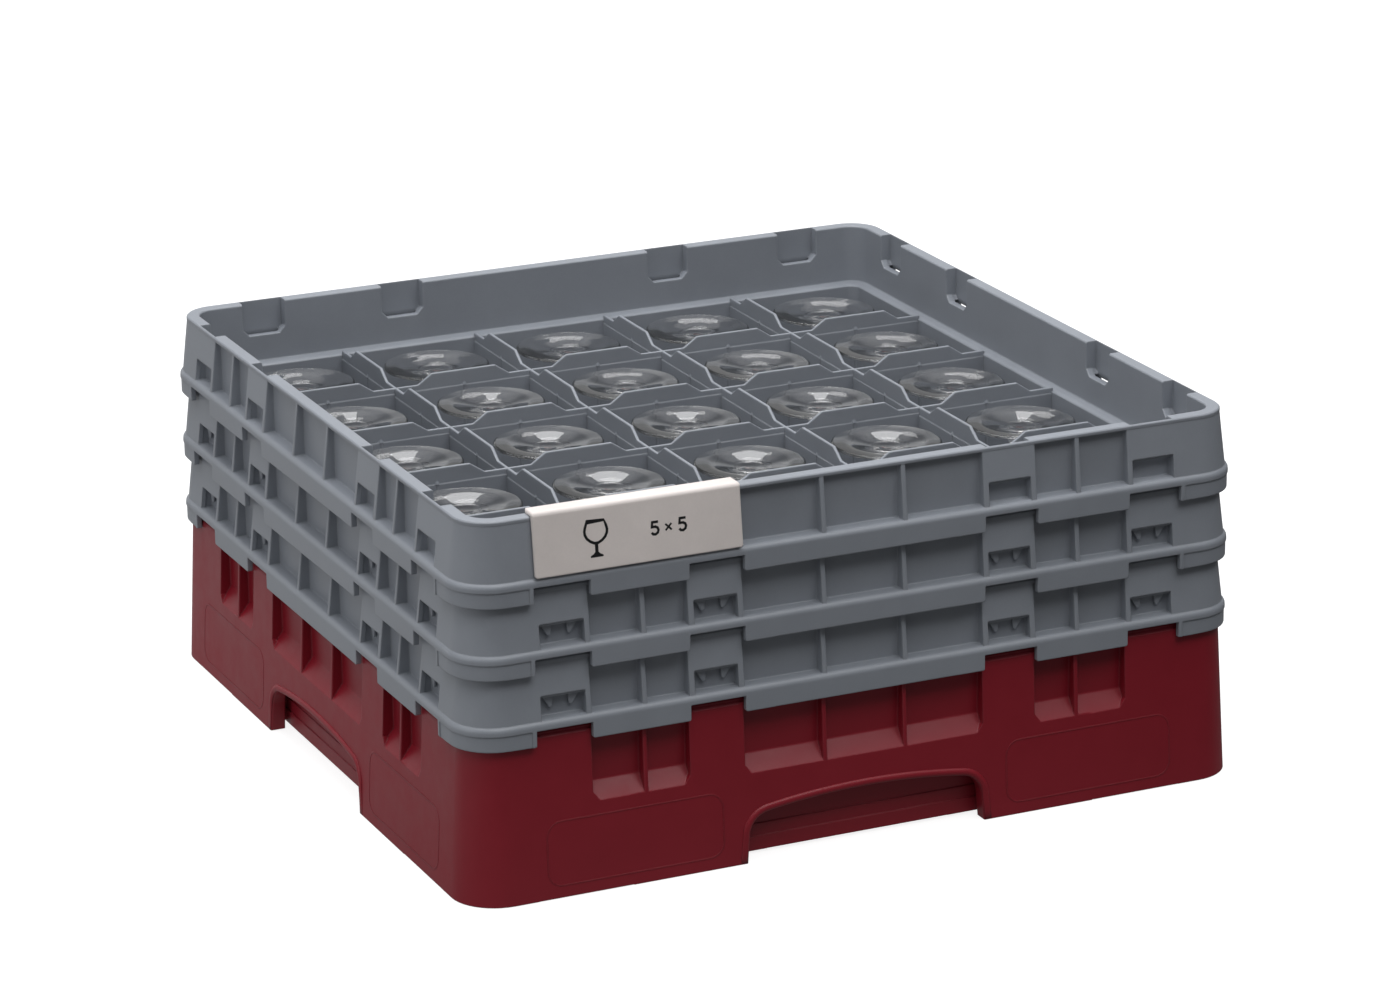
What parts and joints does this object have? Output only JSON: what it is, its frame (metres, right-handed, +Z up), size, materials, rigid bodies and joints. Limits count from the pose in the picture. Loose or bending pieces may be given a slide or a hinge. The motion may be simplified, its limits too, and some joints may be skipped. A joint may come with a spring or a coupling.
{
  "type": "glass washer rack",
  "caption": "Square open glass rack for a commercial glass washer: base with hand openings, stacked compartment extenders, clip-on label and inverted stemmed glasses.",
  "frame": {"origin": "middle of the square footprint, at the height of the table the base rack stands on", "axes": "+Z up, the way every piece lifts off; the label hangs on the -Y side, on its -X half; +X and +Y along the rack's sides"},
  "size_m": [0.502, 0.502, 0.2309],
  "materials": {
    "base_plastic": "satin moulded polypropylene",
    "extender_plastic": "satin moulded polypropylene",
    "label_plastic": "satin moulded clip",
    "clear_glass": "clear polished glass"
  },
  "bodies": {
    "base": {"base_rack": "base_plastic"},
    "extender_1": {"extender_1": "extender_plastic"},
    "extender_2": {"extender_2": "extender_plastic"},
    "extender_3": {"extender_3": "extender_plastic"},
    "label": {"label_clip": "label_plastic"},
    "glass_r1_c1": {"glass_r1_c1": "clear_glass"},
    "glass_r1_c2": {"glass_r1_c2": "clear_glass"},
    "glass_r1_c3": {"glass_r1_c3": "clear_glass"},
    "glass_r1_c4": {"glass_r1_c4": "clear_glass"},
    "glass_r1_c5": {"glass_r1_c5": "clear_glass"},
    "glass_r2_c1": {"glass_r2_c1": "clear_glass"},
    "glass_r2_c2": {"glass_r2_c2": "clear_glass"},
    "glass_r2_c3": {"glass_r2_c3": "clear_glass"},
    "glass_r2_c4": {"glass_r2_c4": "clear_glass"},
    "glass_r2_c5": {"glass_r2_c5": "clear_glass"},
    "glass_r3_c1": {"glass_r3_c1": "clear_glass"},
    "glass_r3_c2": {"glass_r3_c2": "clear_glass"},
    "glass_r3_c3": {"glass_r3_c3": "clear_glass"},
    "glass_r3_c4": {"glass_r3_c4": "clear_glass"},
    "glass_r3_c5": {"glass_r3_c5": "clear_glass"},
    "glass_r4_c1": {"glass_r4_c1": "clear_glass"},
    "glass_r4_c2": {"glass_r4_c2": "clear_glass"},
    "glass_r4_c3": {"glass_r4_c3": "clear_glass"},
    "glass_r4_c4": {"glass_r4_c4": "clear_glass"},
    "glass_r4_c5": {"glass_r4_c5": "clear_glass"},
    "glass_r5_c1": {"glass_r5_c1": "clear_glass"},
    "glass_r5_c2": {"glass_r5_c2": "clear_glass"},
    "glass_r5_c3": {"glass_r5_c3": "clear_glass"},
    "glass_r5_c4": {"glass_r5_c4": "clear_glass"},
    "glass_r5_c5": {"glass_r5_c5": "clear_glass"}
  },
  "joints": [
    {"name": "extender_1_lift", "type": "slide", "parent": "base", "child": "extender_1", "axis": [0, 0, 1], "range_m": [0, 0.125]},
    {"name": "extender_2_lift", "type": "slide", "parent": "extender_1", "child": "extender_2", "axis": [0, 0, 1], "range_m": [0, 0.08]},
    {"name": "extender_3_lift", "type": "slide", "parent": "extender_2", "child": "extender_3", "axis": [0, 0, 1], "range_m": [0, 0.045]},
    {"name": "label_lift", "type": "slide", "parent": "extender_3", "child": "label", "axis": [0, 0, 1], "range_m": [0, 0.05]},
    {"name": "glass_lift_r1_c1", "type": "slide", "parent": "base", "child": "glass_r1_c1", "axis": [0, 0, 1], "range_m": [0, 0.215]},
    {"name": "glass_lift_r1_c2", "type": "slide", "parent": "base", "child": "glass_r1_c2", "axis": [0, 0, 1], "range_m": [0, 0.215]},
    {"name": "glass_lift_r1_c3", "type": "slide", "parent": "base", "child": "glass_r1_c3", "axis": [0, 0, 1], "range_m": [0, 0.215]},
    {"name": "glass_lift_r1_c4", "type": "slide", "parent": "base", "child": "glass_r1_c4", "axis": [0, 0, 1], "range_m": [0, 0.215]},
    {"name": "glass_lift_r1_c5", "type": "slide", "parent": "base", "child": "glass_r1_c5", "axis": [0, 0, 1], "range_m": [0, 0.215]},
    {"name": "glass_lift_r2_c1", "type": "slide", "parent": "base", "child": "glass_r2_c1", "axis": [0, 0, 1], "range_m": [0, 0.215]},
    {"name": "glass_lift_r2_c2", "type": "slide", "parent": "base", "child": "glass_r2_c2", "axis": [0, 0, 1], "range_m": [0, 0.215]},
    {"name": "glass_lift_r2_c3", "type": "slide", "parent": "base", "child": "glass_r2_c3", "axis": [0, 0, 1], "range_m": [0, 0.215]},
    {"name": "glass_lift_r2_c4", "type": "slide", "parent": "base", "child": "glass_r2_c4", "axis": [0, 0, 1], "range_m": [0, 0.215]},
    {"name": "glass_lift_r2_c5", "type": "slide", "parent": "base", "child": "glass_r2_c5", "axis": [0, 0, 1], "range_m": [0, 0.215]},
    {"name": "glass_lift_r3_c1", "type": "slide", "parent": "base", "child": "glass_r3_c1", "axis": [0, 0, 1], "range_m": [0, 0.215]},
    {"name": "glass_lift_r3_c2", "type": "slide", "parent": "base", "child": "glass_r3_c2", "axis": [0, 0, 1], "range_m": [0, 0.215]},
    {"name": "glass_lift_r3_c3", "type": "slide", "parent": "base", "child": "glass_r3_c3", "axis": [0, 0, 1], "range_m": [0, 0.215]},
    {"name": "glass_lift_r3_c4", "type": "slide", "parent": "base", "child": "glass_r3_c4", "axis": [0, 0, 1], "range_m": [0, 0.215]},
    {"name": "glass_lift_r3_c5", "type": "slide", "parent": "base", "child": "glass_r3_c5", "axis": [0, 0, 1], "range_m": [0, 0.215]},
    {"name": "glass_lift_r4_c1", "type": "slide", "parent": "base", "child": "glass_r4_c1", "axis": [0, 0, 1], "range_m": [0, 0.215]},
    {"name": "glass_lift_r4_c2", "type": "slide", "parent": "base", "child": "glass_r4_c2", "axis": [0, 0, 1], "range_m": [0, 0.215]},
    {"name": "glass_lift_r4_c3", "type": "slide", "parent": "base", "child": "glass_r4_c3", "axis": [0, 0, 1], "range_m": [0, 0.215]},
    {"name": "glass_lift_r4_c4", "type": "slide", "parent": "base", "child": "glass_r4_c4", "axis": [0, 0, 1], "range_m": [0, 0.215]},
    {"name": "glass_lift_r4_c5", "type": "slide", "parent": "base", "child": "glass_r4_c5", "axis": [0, 0, 1], "range_m": [0, 0.215]},
    {"name": "glass_lift_r5_c1", "type": "slide", "parent": "base", "child": "glass_r5_c1", "axis": [0, 0, 1], "range_m": [0, 0.215]},
    {"name": "glass_lift_r5_c2", "type": "slide", "parent": "base", "child": "glass_r5_c2", "axis": [0, 0, 1], "range_m": [0, 0.215]},
    {"name": "glass_lift_r5_c3", "type": "slide", "parent": "base", "child": "glass_r5_c3", "axis": [0, 0, 1], "range_m": [0, 0.215]},
    {"name": "glass_lift_r5_c4", "type": "slide", "parent": "base", "child": "glass_r5_c4", "axis": [0, 0, 1], "range_m": [0, 0.215]},
    {"name": "glass_lift_r5_c5", "type": "slide", "parent": "base", "child": "glass_r5_c5", "axis": [0, 0, 1], "range_m": [0, 0.215]}
  ]
}
